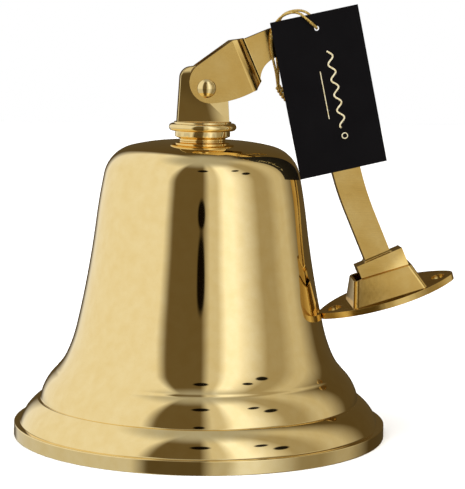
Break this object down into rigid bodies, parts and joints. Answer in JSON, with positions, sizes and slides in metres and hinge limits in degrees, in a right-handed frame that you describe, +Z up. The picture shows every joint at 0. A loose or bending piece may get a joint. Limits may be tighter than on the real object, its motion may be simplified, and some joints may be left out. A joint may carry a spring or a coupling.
{
  "type": "ship bell",
  "caption": "Polished brass ship bell with a hinged swan-neck wall bracket, a clapper on a ring and a card tag on a cord.",
  "frame": {"origin": "centre of the bell's mouth, in the plane of its rim", "axes": "+Z up along the bell's axis to the lug, +X towards the folded bracket, -Y towards the tag's side"},
  "size_m": [0.2427, 0.203, 0.2353],
  "materials": {
    "polished_brass": "mirror polished and lacquered",
    "cast_brass": "cast, ground and polished",
    "turned_brass": "turned, satin",
    "black_card": "matt card",
    "gold_cord": "metallic thread"
  },
  "bodies": {
    "bell": {"bell_shell": "polished_brass", "crown_washer": "polished_brass", "crown_lug": "polished_brass", "inner_washer": "turned_brass", "crown_nut": "turned_brass", "clapper_eyebolt": "turned_brass", "eyebolt_locknut": "turned_brass"},
    "link": {"clapper_link": "turned_brass"},
    "clapper": {"clapper_shank": "turned_brass", "clapper_ball": "polished_brass"},
    "bracket": {"bracket_arm": "cast_brass", "pivot_pin": "polished_brass", "pivot_washer": "turned_brass", "pivot_nut": "turned_brass", "wall_plate": "cast_brass", "foot_screw": "turned_brass", "foot_lock_washer": "turned_brass"},
    "tag": {"hang_tag": "black_card", "tag_cord": "gold_cord", "cord_knot": "gold_cord"}
  },
  "joints": [
    {"name": "bracket_pivot", "type": "hinge", "parent": "bell", "child": "bracket", "pos_m": [0.001, 0, 0.1895], "axis": [0, -1, 0], "range_deg": [0, 150]},
    {"name": "link_swing", "type": "hinge", "parent": "bell", "child": "link", "pos_m": [0, 0, 0.118], "axis": [1, 0, 0], "range_deg": [-24, 24]},
    {"name": "clapper_swing", "type": "hinge", "parent": "link", "child": "clapper", "pos_m": [0, 0, 0.1061], "axis": [0, 1, 0], "range_deg": [-32, 32]},
    {"name": "tag_swing", "type": "hinge", "parent": "bracket", "child": "tag", "pos_m": [0.046, 0, 0.226], "axis": [0, -1, 0], "range_deg": [0, 20], "deforming": ["tag_cord"]}
  ]
}
